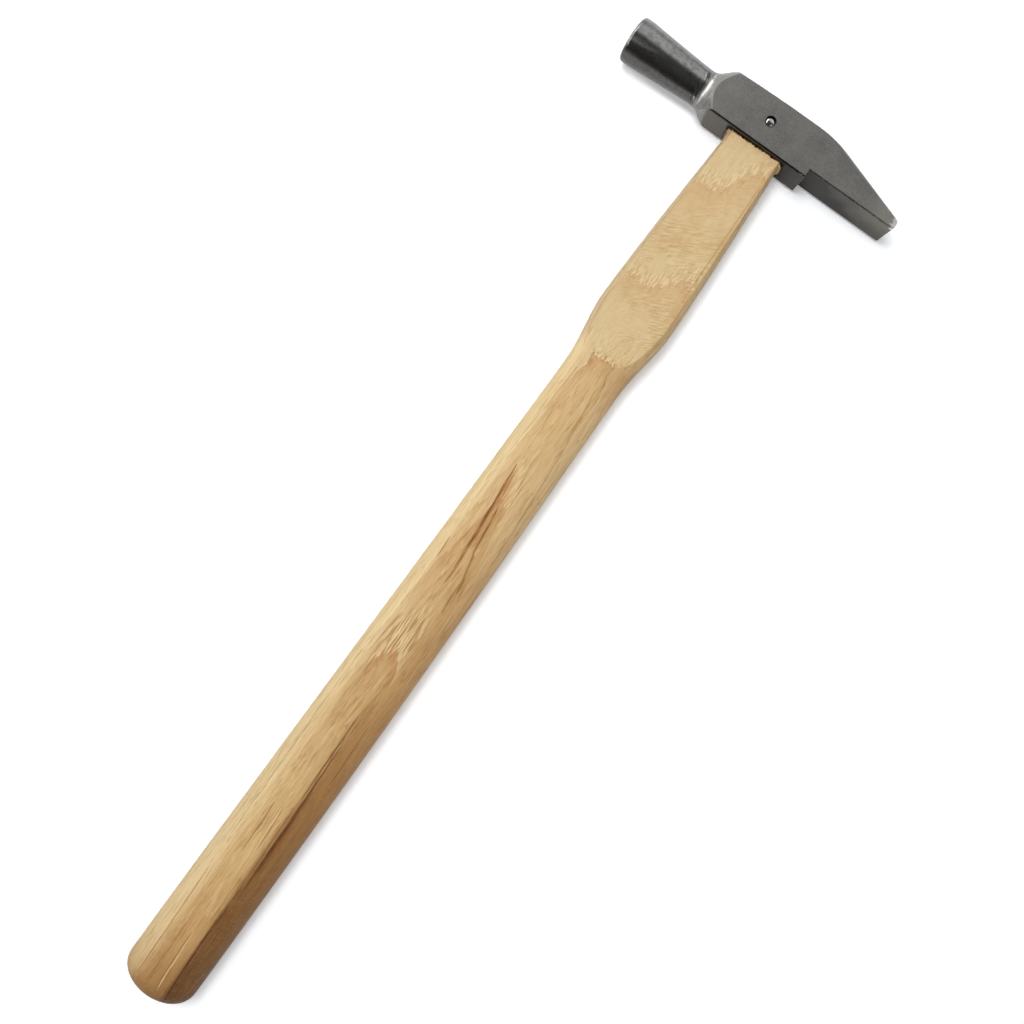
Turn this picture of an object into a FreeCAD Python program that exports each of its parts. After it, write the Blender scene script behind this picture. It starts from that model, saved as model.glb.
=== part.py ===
"""A jeweller's cross-peen hammer: one steel head, an oval wooden handle, a wedge and a cross pin.

Every piece is modelled about the pin axis. X runs towards the peen, Y runs up the handle and out
through the crown of the head, and Z runs across the cheeks. The finished hammer is then set down
on its lower side, so that the origin lies at the bottom centre of its box. Lengths are millimetres
and angles are degrees.
"""
import FreeCAD, Part
import os
from math import acos, cos, radians, sin, tan
from FreeCAD import Vector

# Head: the forged body between the cheeks
cheek_thickness = 12.5      # across the two cheeks
underside_drop = 6.3        # pin axis down to the underside
crown_rise = 6.23           # pin axis up to the crown
crown_fall = 0.53           # how far the crown drops away at the poll end
crown_knee = 2.0            # eye axis to where the crown starts to drop, towards the poll
crown_radius = 400.0        # eases the crown where it starts to drop
body_reach = 14.4           # eye axis to the body's corners at the poll end
edge_break = 0.3            # eased edges round the cheeks
underside_break = 0.35      # the cheeks' edges along the underside are eased a little more

# Head: the peen
step_reach = 14.8           # eye axis to the step under the peen
step_height = 2.1           # the peen's underside lies this far above the body's
tip_reach = 40.8            # eye axis to the peen's edge
bend_reach = 15.5           # eye axis to where the slope would meet the crown
bend_radius = 32.0          # eases the crown into the slope
tip_thickness = 2.45        # the sloping peen is this thick at its edge
tip_upper_radius = 1.1      # the edge is rounded more on its upper side
tip_lower_radius = 0.55

# Head: the turned poll
face_reach = 42.3           # eye axis to the striking face
poll_axis_drop = 0.62       # the turning axis lies below the pin axis
face_diameter = 12.15
rim_radius = 0.9            # rounds the rim of the striking face
rim_band = 3.2              # straight band behind the striking face
neck_diameter = 9.85        # slimmest place, beside the cone
neck_length = 1.2           # straight stretch of the neck
flare_sag = 0.05            # how hollow the flare is between neck and rim band
cone_angle = 40.0           # half angle of the turned cone, in degrees
cone_fillet = 3.4           # hollow between cone and neck

# Head: the eye
eye_length = 17.5           # along the head
eye_width = 8.4             # across the cheeks, at the mouth
eye_flare = 0.5             # the eye is this much wider at the crown
eye_corner = 2.0

# Handle: tenon in the eye
tenon_end_clearance = 0.06  # at each end of the eye
tenon_mouth_gap = 0.6       # at each cheek, at the mouth, where the photograph shows a dark line
tenon_crown_gap = 0.04      # at each cheek, at the crown, where the wedge presses it out
tenon_proud = 0.5           # stands out of the crown
lip_depth = 0.7             # the tenon's crushed lip stands this far out of the mouth
lip_round = 0.6
neck_stop = 0.4             # the neck and its flats end this far short of the mouth

# Handle: neck, shoulder, waist and grip
neck_width = 16.0           # at the head
shoulder_width = 20.9
shoulder_reach = 58.5       # pin axis to the widest place of the shoulder
waist_width = 16.6
waist_reach = 78.5
grip_width = 20.2
butt_reach = 274.35         # pin axis to the end of the butt
even_grip = 26.0            # the grip keeps its full width over this stretch before the butt's end
blank_depth = 16.4          # depth of the oval that the neck's flats are cut from
waist_depth = 13.0
grip_depth = 14.6
dome_rise = 2.8             # how far the butt's end crowns over its widest oval
dome_edge_radius = 5.6
bow_rise = 0.4              # how far the handle bows towards the peen
bow_reach = 95.0            # pin axis to the top of the bow
bow_radius = 16600.0        # the handle's centre line is a very slight arc

# Handle: the two flats of the neck
flat_thickness_head = 7.7
flat_thickness_shoulder = 9.5
scoop_reach = 66.0          # pin axis to where the flats start to rise
scoop_radius = 25.0

# Wedge in the tenon
wedge_depth = 9.5           # from the tenon's end to past the cross pin
wedge_thickness = 1.9       # at the tenon's end
wedge_tip = 0.6
wedge_inset = 0.4           # the wedge stops this far short of the tenon at each end
wedge_clearance = 0.02

# Cross pin
pin_diameter = 2.5
pin_offset = -0.4           # pin axis from the eye axis
pin_clearance = 0.02
pin_dome_rise = 0.5         # height of the domed ends
countersink_diameter = 3.0
countersink_depth = 0.45

overrun = 6.0               # how far cutting shapes run past what they cut

# Ovals that shape the handle, in each of its stretches
neck_steps = 8
shoulder_steps = 6
grip_steps = 11
butt_steps = 3

half_cheek = cheek_thickness / 2
handle_top = crown_rise + tenon_proud


def rounded_outline(corners):
    """A closed face in the XY plane from (x, y, radius) corners, each rounded by a tangent arc."""
    points = [Vector(x, y, 0) for x, y, _ in corners]
    edges = []
    ends = []
    for index, (_, _, radius) in enumerate(corners):
        here = points[index]
        back = (points[index - 1] - here).normalize()
        ahead = (points[(index + 1) % len(points)] - here).normalize()
        if radius == 0:
            ends.append((here, here))
            continue
        half_turn = acos(max(-1, min(1, back.dot(ahead)))) / 2
        run = radius / tan(half_turn)
        middle = here + (back + ahead).normalize() * (radius / sin(half_turn) - radius)
        start, stop = here + back * run, here + ahead * run
        ends.append((start, stop))
        edges.append(Part.Arc(start, middle, stop).toShape())
    for index, (_, stop) in enumerate(ends):
        start_of_next = ends[(index + 1) % len(ends)][0]
        edges.append(Part.LineSegment(stop, start_of_next).toShape())
    return Part.Face(Part.Wire(Part.__sortEdges__(edges)))


def across_cheeks(face, width):
    """Extrude a face of the XY plane to the given width, centred between the cheeks."""
    solid = face.extrude(Vector(0, 0, width))
    solid.translate(Vector(0, 0, -width / 2))
    return solid


def slot_outline(length, width, corner, height):
    """The rounded rectangle of eye and tenon, at one height up the handle."""
    face = rounded_outline([
        (-length / 2, -width / 2, corner),
        (length / 2, -width / 2, corner),
        (length / 2, width / 2, corner),
        (-length / 2, width / 2, corner),
    ])
    wire = face.OuterWire
    wire.rotate(Vector(), Vector(1, 0, 0), 90)
    wire.translate(Vector(0, height, 0))
    return wire


def ease_cheeks(blank, radius, wanted):
    """Ease the edges of both cheeks whose middles are wanted."""
    edges = [
        edge for edge in blank.Edges
        if abs(abs(edge.CenterOfMass.z) - half_cheek) < edge_break and wanted(edge.CenterOfMass)
    ]
    return blank.makeFillet(radius, edges)


def forged_blank():
    """Body and peen as one outline, with the edges of both cheeks eased."""
    blank_end = -(body_reach + underside_drop)
    crown_at_poll = crown_rise - crown_fall
    peen_underside = step_height - underside_drop
    tip_height = peen_underside + tip_thickness
    outline = rounded_outline([
        (blank_end, -underside_drop, 0),
        (step_reach, -underside_drop, 0),
        (step_reach, peen_underside, 0),
        (tip_reach, peen_underside, tip_lower_radius),
        (tip_reach, tip_height, tip_upper_radius),
        (bend_reach, crown_rise, bend_radius),
        (-crown_knee, crown_rise, crown_radius),
        (-body_reach, crown_at_poll, 0),
        (blank_end, crown_at_poll, 0),
    ])
    blank = across_cheeks(outline, cheek_thickness)
    above_underside = edge_break - underside_drop
    blank = ease_cheeks(blank, underside_break, lambda middle: middle.y < above_underside)
    return ease_cheeks(blank, edge_break,
                       lambda middle: middle.y > above_underside and middle.x > blank_end)


def turned_profile():
    """Half profile of the turning, from the striking face to the end of the cone, as edges."""
    corner_radius = (half_cheek ** 2 + (underside_drop - poll_axis_drop) ** 2) ** 0.5
    neck_radius = neck_diameter / 2
    face_radius = face_diameter / 2
    slope = tan(radians(cone_angle))
    cone_foot = -(body_reach + (corner_radius - neck_radius) / slope)
    fillet_run = cone_fillet * tan(radians(cone_angle / 2))
    fillet_start = Vector(cone_foot - fillet_run, neck_radius, 0)
    fillet_end = Vector(
        cone_foot + fillet_run * cos(radians(cone_angle)),
        neck_radius + fillet_run * sin(radians(cone_angle)), 0)
    fillet_middle = Vector(
        fillet_start.x + cone_fillet * sin(radians(cone_angle / 2)),
        neck_radius + cone_fillet * (1 - cos(radians(cone_angle / 2))), 0)
    cone_end = Vector(cone_foot + (corner_radius + overrun - neck_radius) / slope,
                      corner_radius + overrun, 0)
    flare_start = Vector(fillet_start.x - neck_length, neck_radius, 0)
    flare_end = Vector(rim_band - face_reach, face_radius, 0)
    flare_middle = (flare_start + flare_end) * 0.5 - Vector(0, flare_sag, 0)
    rim_start = Vector(rim_radius - face_reach, face_radius, 0)
    rim_turn = rim_radius * (1 - cos(radians(45)))
    rim_middle = Vector(rim_turn - face_reach, face_radius - rim_turn, 0)
    rim_end = Vector(-face_reach, face_radius - rim_radius, 0)
    return [
        Part.LineSegment(Vector(-face_reach, 0, 0), rim_end).toShape(),
        Part.Arc(rim_end, rim_middle, rim_start).toShape(),
        Part.LineSegment(rim_start, flare_end).toShape(),
        Part.Arc(flare_end, flare_middle, flare_start).toShape(),
        Part.LineSegment(flare_start, fillet_start).toShape(),
        Part.Arc(fillet_start, fillet_middle, fillet_end).toShape(),
        Part.LineSegment(fillet_end, cone_end).toShape(),
    ], fillet_start, cone_end


def turned_envelope():
    """What the lathe leaves: the poll, its cone, and room for the whole forged body beyond."""
    edges, _, cone_end = turned_profile()
    far_end = tip_reach + overrun
    edges.append(Part.LineSegment(cone_end, Vector(far_end, cone_end.y, 0)).toShape())
    edges.append(Part.LineSegment(Vector(far_end, cone_end.y, 0), Vector(far_end, 0, 0)).toShape())
    edges.append(Part.LineSegment(Vector(far_end, 0, 0), Vector(-face_reach, 0, 0)).toShape())
    envelope = Part.Face(Part.Wire(edges)).revolve(Vector(), Vector(1, 0, 0), 360)
    envelope.translate(Vector(0, -poll_axis_drop, 0))
    return envelope


def poll_blank():
    """Round stock, with room to spare, that the poll is turned from as far as its neck."""
    _, fillet_start, _ = turned_profile()
    stock_radius = face_diameter / 2 + overrun
    return Part.makeCylinder(stock_radius, face_reach + fillet_start.x,
                             Vector(-face_reach, -poll_axis_drop, 0), Vector(1, 0, 0))


def make_eye():
    """The tapered eye as a solid to cut with, wider at the crown."""
    height = underside_drop + crown_rise
    widening = eye_flare * overrun / height
    mouth = slot_outline(eye_length, eye_width - widening, eye_corner, -underside_drop - overrun)
    crown = slot_outline(eye_length, eye_width + eye_flare + widening, eye_corner,
                         crown_rise + overrun)
    return Part.makeLoft([mouth, crown], True, True)


def pin_hole(length):
    """A hole for the cross pin, through everything that it holds."""
    radius = pin_diameter / 2 + pin_clearance
    return Part.makeCylinder(radius, length, Vector(pin_offset, 0, -length / 2))


def countersink(side):
    """The shallow cone round one end of the cross pin."""
    hole_radius = pin_diameter / 2 + pin_clearance
    outer_radius = countersink_diameter / 2
    cone = Part.makeCone(hole_radius, outer_radius, countersink_depth,
                         Vector(pin_offset, 0, side * (half_cheek - countersink_depth)),
                         Vector(0, 0, side))
    return cone


def make_head():
    """The forged and turned head with its eye and pin hole."""
    body = forged_blank().common(turned_envelope())
    poll = poll_blank().common(turned_envelope())
    head = body.fuse(poll).cut(make_eye()).cut(pin_hole(cheek_thickness + overrun))
    for side in (-1, 1):
        head = head.cut(countersink(side))
    return head.removeSplitter()


def swell(share):
    """Eases a widening stretch: nearly straight at first, level at its end."""
    return (share + sin(radians(90 * share))) / 2


def turn_in(share):
    """Eases the shoulder into the waist: level at both ends."""
    return (1 - cos(radians(180 * share))) / 2


def bow(reach):
    """How far the handle's centre line lies towards the peen, at a reach below the pin axis."""
    return bow_rise - (reach - bow_reach) ** 2 / (2 * bow_radius)


def stretch(start, stop, ease, steps):
    """Evenly spaced ovals from one (reach, width, depth) towards the next, without the last."""
    ovals = []
    for index in range(steps):
        share = index / steps
        reach = start[0] + (stop[0] - start[0]) * share
        width = start[1] + (stop[1] - start[1]) * ease(share)
        depth = start[2] + (stop[2] - start[2]) * ease(share)
        ovals.append((reach, width, depth))
    return ovals


def handle_ovals():
    """The (reach, width, depth) of the ovals, from just short of the eye to past the butt."""
    neck = (underside_drop + neck_stop, neck_width, blank_depth)
    shoulder = (shoulder_reach, shoulder_width, blank_depth)
    waist = (waist_reach, waist_width, waist_depth)
    grip = (butt_reach - even_grip, grip_width, grip_depth)
    butt = (butt_reach + overrun, grip_width, grip_depth)
    return (stretch(neck, shoulder, swell, neck_steps)
            + stretch(shoulder, waist, turn_in, shoulder_steps)
            + stretch(waist, grip, swell, grip_steps)
            + stretch(grip, butt, swell, butt_steps)
            + [butt])


def oval_skin(ovals):
    """A solid whose every section is an ellipse, smooth along its length.

    Round the handle the surface is the usual spline of a circle: nine control points on a square,
    as (x, z, weight). Along the handle it is a cubic spline that the ovals steer, cut into a strip
    for each of its spans, because short strips need fewer facets than one long face.
    """
    corner_weight = 0.5 ** 0.5
    ring = [(1, 0, 1), (1, 1, corner_weight), (0, 1, 1), (-1, 1, corner_weight), (-1, 0, 1),
            (-1, -1, corner_weight), (0, -1, 1), (1, -1, corner_weight), (1, 0, 1)]
    ring_degree, long_degree = 2, 3
    ring_knots = list(range(5))
    ring_counts = [3, 2, 2, 2, 3]
    spans = len(ovals) - long_degree
    long_knots = list(range(spans + 1))
    long_counts = [long_degree + 1] + [1] * (spans - 1) + [long_degree + 1]
    poles = [[Vector(bow(reach) + x * width / 2, -reach, z * depth / 2)
              for reach, width, depth in ovals]
             for x, z, _ in ring]
    weights = [[weight] * len(ovals) for _, _, weight in ring]
    surface = Part.BSplineSurface()
    surface.buildFromPolesMultsKnots(poles, ring_counts, long_counts, ring_knots, long_knots,
                                     False, False, ring_degree, long_degree, weights)
    strips = [surface.toShape(ring_knots[0], ring_knots[-1], start, stop)
              for start, stop in zip(long_knots, long_knots[1:])]
    caps = [Part.Face(Part.Wire(surface.vIso(end).toShape())) for end in (long_knots[0], long_knots[-1])]
    shell = Part.makeShell(strips + caps)
    shell.sewShape()
    solid = Part.makeSolid(shell)
    if solid.Volume < 0:
        solid.reverse()
    return solid


def flat_cutter(side):
    """What a saw and a drum sander take off one side of the neck: a flat that ends in a scoop."""
    half_head = flat_thickness_head / 2
    half_shoulder = flat_thickness_shoulder / 2
    run = scoop_reach - underside_drop
    rise = (half_shoulder - half_head) / run
    start = Vector(0, overrun, half_head - rise * (underside_drop + overrun))
    foot = Vector(0, -scoop_reach, half_shoulder)
    along = (foot - start).normalize()
    outward = Vector(0, along.z, -along.y)
    sweep = acos(1 - min(1, (blank_depth + overrun) / 2 / scoop_radius))
    centre = foot + outward * scoop_radius

    def on_scoop(angle):
        return centre + along * (scoop_radius * sin(angle)) - outward * (scoop_radius * cos(angle))

    end = on_scoop(sweep)
    lid = max(end.z, blank_depth)
    lines = [Part.LineSegment(start, foot).toShape(),
             Part.Arc(foot, on_scoop(sweep / 2), end).toShape(),
             Part.LineSegment(end, Vector(0, end.y, lid)).toShape(),
             Part.LineSegment(Vector(0, end.y, lid), Vector(0, start.y, lid)).toShape(),
             Part.LineSegment(Vector(0, start.y, lid), start).toShape()]
    width = shoulder_width + overrun
    cutter = Part.Face(Part.Wire(lines)).extrude(Vector(width, 0, 0))
    cutter.translate(Vector(-width / 2, 0, 0))
    if side < 0:
        cutter = cutter.mirror(Vector(), Vector(0, 0, 1))
    return cutter


def make_tenon():
    """The tenon, splayed by the wedge until it fills the eye at the crown."""
    length = eye_length - 2 * tenon_end_clearance
    corner = eye_corner - tenon_end_clearance
    height = underside_drop + crown_rise
    mouth_width = eye_width - 2 * tenon_mouth_gap
    crown_width = eye_width + eye_flare - 2 * tenon_crown_gap
    splay = (crown_width - mouth_width) / height
    lip_height = -underside_drop - lip_depth
    lip = slot_outline(length, mouth_width - splay * lip_depth, corner, lip_height)
    end = slot_outline(length, crown_width + splay * tenon_proud, corner, handle_top)
    tenon = Part.makeLoft([lip, end], True, True)
    lip_edges = [edge for edge in tenon.Edges if abs(edge.CenterOfMass.y - lip_height) < lip_round]
    return tenon.makeFillet(lip_round, lip_edges)


def wedge_solid(length, gap, lid):
    """The wedge's taper. A gap all round and a lid above make the kerf that it sits in."""
    top = handle_top + lid
    tip = handle_top - wedge_depth - gap
    taper = (wedge_thickness - wedge_tip) / 2 / wedge_depth
    half_top = wedge_thickness / 2 + taper * lid + gap
    half_tip = wedge_tip / 2 - taper * gap + gap
    face = Part.Face(Part.makePolygon([
        Vector(0, tip, -half_tip), Vector(0, tip, half_tip),
        Vector(0, top, half_top), Vector(0, top, -half_top), Vector(0, tip, -half_tip)]))
    solid = face.extrude(Vector(length, 0, 0))
    solid.translate(Vector(-length / 2, 0, 0))
    return solid


def domed_stick():
    """The oval handle from just short of the eye to its domed butt, before the flats are cut."""
    stick = oval_skin(handle_ovals())
    half_width = grip_width / 2
    dome_radius = (half_width ** 2 + dome_rise ** 2) / (2 * dome_rise)
    dome_centre = Vector(bow(butt_reach), dome_radius - butt_reach, 0)
    stock_radius = half_width + overrun
    stock = Part.makeCylinder(stock_radius, dome_radius + overrun,
                              Vector(0, -butt_reach - overrun, 0), Vector(0, 1, 0))
    stick = stick.cut(stock.cut(Part.makeSphere(dome_radius, dome_centre, Vector(0, 1, 0))))
    above_apex = dome_rise / 4 - butt_reach
    rim = [edge for edge in stick.Edges
           if edge.BoundBox.YMin > above_apex and edge.BoundBox.YMax < dome_centre.y]
    return stick.makeFillet(dome_edge_radius, rim)


def make_handle():
    """Oval handle with flats on its neck, a tenon with a kerf, and a domed butt."""
    handle = domed_stick()
    for side in (-1, 1):
        handle = handle.cut(flat_cutter(side))
    handle = handle.fuse(make_tenon())
    handle = handle.cut(wedge_solid(eye_length + overrun, wedge_clearance, overrun))
    return handle.cut(pin_hole(cheek_thickness))


def make_wedge():
    """The wooden wedge, drilled by the same hole as the tenon."""
    length = eye_length - 2 * (tenon_end_clearance + wedge_inset)
    return wedge_solid(length, 0, 0).cut(pin_hole(cheek_thickness))


def make_cross_pin():
    """A plain pin whose domed ends lie in the countersinks, level with the cheeks."""
    radius = pin_diameter / 2
    half_length = half_cheek - pin_dome_rise
    ball = (radius ** 2 + pin_dome_rise ** 2) / (2 * pin_dome_rise)
    pin = Part.makeCylinder(radius, 2 * half_length, Vector(pin_offset, 0, -half_length))
    for side in (-1, 1):
        centre = Vector(pin_offset, 0, side * (half_cheek - ball))
        cap = Part.makeSphere(ball, centre).common(
            Part.makeCylinder(radius, pin_dome_rise, Vector(pin_offset, 0, side * half_length),
                              Vector(0, 0, side)))
        pin = pin.fuse(cap)
    return pin.removeSplitter()


def set_down(shape):
    """Move a piece so that the hammer's box stands on Z = 0 with its centre over the origin."""
    middle_x = (tip_reach - face_reach) / 2
    middle_y = (handle_top - butt_reach) / 2
    lowest = max(cheek_thickness, grip_depth) / 2
    return shape.translated(Vector(-middle_x, -middle_y, lowest))


pieces = {
    "head": make_head(),
    "handle": make_handle(),
    "wedge": make_wedge(),
    "cross_pin": make_cross_pin(),
}

os.makedirs("parts", exist_ok=True)
for name, shape in pieces.items():
    placed = set_down(shape)
    placed.exportStep("parts/" + name + ".step")
    box = placed.optimalBoundingBox()
    corners = (box.XMin, box.XMax, box.YMin, box.YMax, box.ZMin, box.ZMax)
    print(name, "valid", placed.isValid(), "solids", len(placed.Solids),
          "volume", round(placed.Volume, 1), "box", [round(value, 2) for value in corners])
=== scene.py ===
import logging
import math
import random
from dataclasses import dataclass, field
from enum import Enum

import bmesh
import bpy
from mathutils import Matrix, Vector, noise


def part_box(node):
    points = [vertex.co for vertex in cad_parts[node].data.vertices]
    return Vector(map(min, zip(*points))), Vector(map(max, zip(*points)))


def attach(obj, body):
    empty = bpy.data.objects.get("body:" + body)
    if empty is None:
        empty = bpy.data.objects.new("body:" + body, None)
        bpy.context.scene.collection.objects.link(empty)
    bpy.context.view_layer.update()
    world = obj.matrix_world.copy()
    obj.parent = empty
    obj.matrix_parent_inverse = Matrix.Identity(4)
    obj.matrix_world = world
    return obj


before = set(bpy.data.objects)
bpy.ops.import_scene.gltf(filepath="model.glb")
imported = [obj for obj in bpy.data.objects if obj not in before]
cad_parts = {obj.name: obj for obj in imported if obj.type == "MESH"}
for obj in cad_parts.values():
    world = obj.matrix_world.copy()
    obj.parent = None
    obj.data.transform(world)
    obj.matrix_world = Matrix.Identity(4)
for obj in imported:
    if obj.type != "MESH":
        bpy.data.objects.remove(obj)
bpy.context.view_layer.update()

MM = 0.001
EYE_FROM_PIN = 0.4 * MM
FULL_SWING = 4.0
LOG = logging.getLogger("hammer")

Socket = bpy.types.NodeSocket
Value = float | Socket
Colour = tuple[float, float, float, float]
Triple = tuple[float, float, float]
Zone = tuple[float, float]
Keys = tuple[tuple[float, float], ...]
Feeds = dict[str | int, object]

EVEN: Triple = (1.0, 1.0, 1.0)
WHITE: Colour = (1.0, 1.0, 1.0, 1.0)


class Piece(Enum):
    """The hammer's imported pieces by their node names."""

    HEAD = "head"
    HANDLE = "handle"
    WEDGE = "wedge"
    PIN = "cross_pin"


class Slot(Enum):
    """Names of the material slots."""

    HEAD_STEEL = "head_steel"
    HANDLE_WOOD = "handle_wood"
    WEDGE_WOOD = "wedge_wood"
    PIN_STEEL = "pin_steel"


class Stain(Enum):
    """Colours of the marks in the wood, as a screen shows them."""

    DARK = (84, 50, 26)
    BROWN = (128, 84, 46)
    RED = (178, 108, 62)
    RUST = (146, 88, 46)
    PALE = (228, 194, 140)


def find_datum() -> Vector:
    """Returns the point on the eye's axis, midway between the cheeks and level with the pin, in metres."""
    low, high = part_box(Piece.PIN.value)
    return (Vector(low) + Vector(high)) / 2 + Vector((EYE_FROM_PIN, 0, 0))


DATUM = find_datum()


def at(x: float, y: float, z: float) -> Vector:
    """Turns a place measured from the datum in millimetres into one in the shared frame.

    Args:
        x: Distance towards the peen.
        y: Distance towards the crown, so that the handle lies below nought.
        z: Distance towards the upper cheek.

    Returns:
        The place in metres.
    """
    return DATUM + Vector((x, y, z)) * MM


def paint(red: int, green: int, blue: int) -> Colour:
    """Turns a colour as a screen shows it into the linear values that sockets hold.

    Args:
        red: Red, from 0 to 255.
        green: Green, from 0 to 255.
        blue: Blue, from 0 to 255.

    Returns:
        The linear colour with an alpha of one.
    """
    shares = (red / 255, green / 255, blue / 255)
    linear = [s / 12.92 if s <= 0.04045 else ((s + 0.055) / 1.055) ** 2.4 for s in shares]
    return (linear[0], linear[1], linear[2], 1.0)


@dataclass
class Wiring:
    """Places nodes in one tree and joins them."""

    tree: bpy.types.NodeTree

    def into(self, socket: Socket, value: object) -> None:
        """Links a socket to an input, or sets the input to anything else."""
        if isinstance(value, Socket):
            self.tree.links.new(value, socket)
        else:
            socket.default_value = value

    def node(self, kind: str, feeds: Feeds | None = None, **settings: object) -> bpy.types.Node:
        """Places a node.

        Args:
            kind: The node's type name.
            feeds: What goes into each input.
            settings: The node's own properties.

        Returns:
            The new node.
        """
        made = self.tree.nodes.new(kind)
        for name, value in settings.items():
            setattr(made, name, value)
        for name, value in (feeds or {}).items():
            self.into(made.inputs[name], value)
        return made

    def feed(self, made: bpy.types.Node, **feeds: object) -> None:
        """Feeds a node's inputs by name, with an underscore for each space."""
        for name, value in feeds.items():
            self.into(made.inputs[name.replace("_", " ")], value)

    def group(self, name: str, place: Socket, **feeds: object) -> bpy.types.Node:
        """Places a copy of a node group.

        Args:
            name: The group's name.
            place: The place on the hammer, in millimetres.
            feeds: What goes into its other inputs, with an underscore for each space.

        Returns:
            The placed group.
        """
        made = self.node("ShaderNodeGroup", {}, node_tree=bpy.data.node_groups[name])
        self.feed(made, Place=place, **feeds)
        return made

    def mask(self, name: str, place: Socket, **feeds: object) -> Socket:
        """Returns the first output of a placed group."""
        return self.group(name, place, **feeds).outputs[0]

    def math(self, operation: str, *values: Value) -> Socket:
        """Returns the result of one arithmetic step on values or sockets."""
        return self.node("ShaderNodeMath", dict(enumerate(values)), operation=operation).outputs[0]

    def chain(self, operation: str, values: tuple[Value, ...]) -> Socket:
        """Returns what one arithmetic step makes of all values, taken one after another."""
        total = values[0]
        for value in values[1:]:
            total = self.math(operation, total, value)
        return total

    def add(self, *values: Value) -> Socket:
        """Returns the sum of two or more values."""
        return self.chain("ADD", values)

    def times(self, *values: Value) -> Socket:
        """Returns the product of two or more values."""
        return self.chain("MULTIPLY", values)

    def weigh(self, *parts: tuple[Socket, float]) -> Socket:
        """Returns the sum of values, each times its weight."""
        return self.add(*(self.times(part, weight) for part, weight in parts))

    def most(self, *values: Value) -> Socket:
        """Returns the greatest of two or more values."""
        return self.chain("MAXIMUM", values)

    def less(self, value: Value, taken: Value) -> Socket:
        """Returns a value with another taken from it."""
        return self.math("SUBTRACT", value, taken)

    def span(self, value: Value) -> Socket:
        """Returns a value without its sign."""
        return self.math("ABSOLUTE", value)

    def share(self, value: Value, start: Value, end: Value) -> Socket:
        """Returns how far a value has come from one limit to another, between nought and one."""
        return self.node("ShaderNodeMapRange", {0: value, 1: start, 2: end}).outputs[0]

    def band(self, value: Value, start: Value, end: Value, low: Value = 0.0, high: Value = 1.0) -> Socket:
        """Eases from one level to another while a value runs between two limits.

        Args:
            value: What is measured.
            start: Where the easing starts. It may lie above the end.
            end: Where the easing ends.
            low: Level at the start.
            high: Level at the end.

        Returns:
            The eased level.
        """
        feeds = {0: value, 1: start, 2: end, 3: low, 4: high}
        return self.node("ShaderNodeMapRange", feeds, interpolation_type="SMOOTHSTEP").outputs[0]

    def window(self, value: Value, start: float, end: float, ease: float) -> Socket:
        """Returns one between two limits and nothing outside them, eased over a length."""
        after_start = self.band(value, start - ease, start + ease)
        return self.times(after_start, self.band(value, end + ease, end - ease))

    def level(self, factor: Value, low: Value, high: Value) -> Socket:
        """Returns a number between two others by a factor."""
        return self.node("ShaderNodeMix", {0: factor, 2: low, 3: high}, data_type="FLOAT").outputs[0]

    def blend(self, factor: Value, under: object, over: object, how: str = "MIX") -> Socket:
        """Returns one colour laid over another by a factor."""
        feeds = {0: factor, 6: under, 7: over}
        return self.node("ShaderNodeMix", feeds, data_type="RGBA", blend_type=how).outputs[2]

    def coat(self, under: object, *layers: tuple[Value, object]) -> Socket:
        """Returns a colour with others laid over it one after another, each by its factor."""
        for factor, over in layers:
            under = self.blend(factor, under, over)
        return under

    def tint(self, factor: Value, under: object, over: object) -> Socket:
        """Returns one colour multiplied by another by a factor."""
        return self.blend(factor, under, over, "MULTIPLY")

    def stretch(self, vector: Socket, per_mm: Triple) -> Socket:
        """Returns a vector with its three axes scaled apart."""
        return self.node("ShaderNodeVectorMath", {0: vector, 1: per_mm}, operation="MULTIPLY").outputs[0]

    def scale(self, vector: Socket, factor: Value) -> Socket:
        """Returns a vector with its three axes scaled alike."""
        return self.node("ShaderNodeVectorMath", {0: vector, "Scale": factor}, operation="SCALE").outputs[0]

    def split(self, vector: Socket) -> tuple[Socket, Socket, Socket]:
        """Returns a vector's three parts."""
        made = self.node("ShaderNodeSeparateXYZ", {0: vector})
        return made.outputs[0], made.outputs[1], made.outputs[2]

    def join(self, x: Value, y: Value, z: Value) -> Socket:
        """Returns a vector made of three parts."""
        return self.node("ShaderNodeCombineXYZ", {0: x, 1: y, 2: z}).outputs[0]

    def cloud(self, vector: Socket, per_mm: Triple, detail: float = 2.0, rough: float = 0.5) -> Socket:
        """Returns soft noise, centred on a half, with its own fineness along each axis.

        Args:
            vector: The place in millimetres.
            per_mm: Fineness along each axis, in blotches per millimetre.
            detail: How many finer layers lie on it.
            rough: How strong the finer layers are.

        Returns:
            The noise's level.
        """
        feeds = {"Vector": self.stretch(vector, per_mm), "Scale": 1.0, "Detail": detail, "Roughness": rough}
        return self.node("ShaderNodeTexNoise", feeds).outputs[0]

    def swing(self, vector: Socket, per_mm: Triple, detail: float = 2.0, rough: float = 0.5) -> Socket:
        """Returns the same soft noise, centred on nought."""
        return self.less(self.cloud(vector, per_mm, detail, rough), 0.5)

    def place(self) -> Socket:
        """Returns the place on the hammer in millimetres from the datum."""
        found = self.node("ShaderNodeTexCoord").outputs["Object"]
        gap = self.node("ShaderNodeVectorMath", {0: found, 1: tuple(DATUM)}, operation="SUBTRACT").outputs[0]
        return self.scale(gap, 1 / MM)

    def facing(self) -> tuple[Socket, Socket, Socket]:
        """Returns the three parts of the direction that the surface faces."""
        return self.split(self.node("ShaderNodeNewGeometry").outputs["Normal"])

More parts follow.
